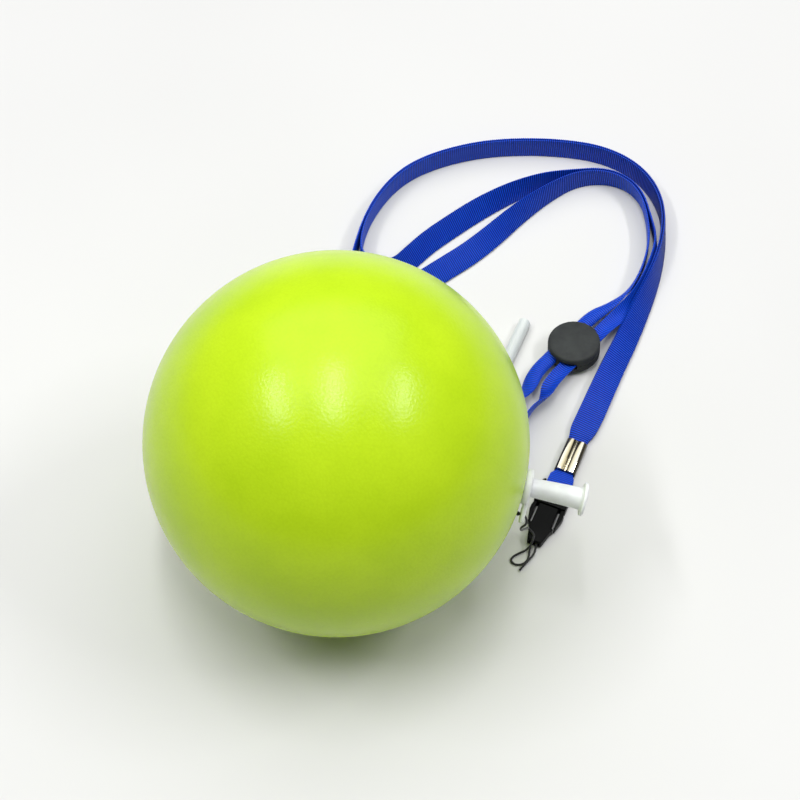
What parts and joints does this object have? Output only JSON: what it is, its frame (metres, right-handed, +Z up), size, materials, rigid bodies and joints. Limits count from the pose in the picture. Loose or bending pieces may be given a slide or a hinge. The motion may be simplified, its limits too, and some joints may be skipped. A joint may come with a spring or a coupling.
{
  "type": "posture training ball on neck lanyard",
  "caption": "Soft inflatable training ball with a plugged side valve, tethered through a snap buckle to an adjustable flat neck strap, with its inflation straw.",
  "frame": {"origin": "the point where the ball rests on the floor, straight below the ball's centre", "axes": "+Z up; +X towards the valve side of the ball; +Y towards the lanyard laid out behind the ball"},
  "size_m": [0.242, 0.309, 0.16],
  "materials": {
    "ball_skin": "satin, fine pebbled soft PVC",
    "valve_plastic": "milky soft polyethylene, slightly translucent",
    "straw_plastic": "thin white polypropylene tube",
    "strap_fabric": "ribbed woven polyester",
    "chrome": "bright nickel-plated sheet steel",
    "black_plastic": "moulded black acetal, fine satin",
    "tether_fabric": "thin braided nylon cord"
  },
  "bodies": {
    "ball": {"ball_shell": "ball_skin", "valve_seat": "valve_plastic", "tether_cord": "tether_fabric", "tether_knot": "tether_fabric", "buckle_insert": "black_plastic"},
    "plug": {"valve_plug": "valve_plastic"},
    "straw": {"inflation_straw": "straw_plastic"},
    "lanyard": {"neck_strap_left": "strap_fabric", "neck_strap_right": "strap_fabric", "strap_end_loop": "strap_fabric", "strap_crimp": "chrome", "buckle_socket": "black_plastic"},
    "slider": {"slider_cap": "black_plastic", "slider_base": "black_plastic"},
    "release_arm_left": {"release_arm_left": "black_plastic"},
    "release_arm_right": {"release_arm_right": "black_plastic"}
  },
  "joints": [
    {"name": "plug_pull", "type": "slide", "parent": "ball", "child": "plug", "axis": [0.975, -0.186, -0.1219], "range_m": [0, 0.015]},
    {"name": "straw_slide", "type": "slide", "parent": "ball", "child": "straw", "axis": [0.3875, 0.9219, 0], "range_m": [0, 0.03]},
    {"name": "buckle_release", "type": "slide", "parent": "ball", "child": "lanyard", "axis": [0.3923, 0.9198, 0], "range_m": [0, 0.012]},
    {"name": "strap_adjust", "type": "slide", "parent": "lanyard", "child": "slider", "axis": [0.6626, 0.749, 0], "range_m": [-0.008, 0.008]},
    {"name": "press_right", "type": "hinge", "parent": "ball", "child": "release_arm_right", "pos_m": [0.09629, 0.00021, 0.0028], "axis": [0, 0, 1], "range_deg": [0, 4.5], "stiffness_Nm_per_rad": 0.05},
    {"name": "press_left", "type": "hinge", "parent": "ball", "child": "release_arm_left", "pos_m": [0.08433, 0.00531, 0.0028], "axis": [0, 0, -1], "range_deg": [0, 4.5], "stiffness_Nm_per_rad": 0.05}
  ],
  "couplings": [
    {"joint": "press_left", "follows": "press_right", "ratio": 1}
  ]
}
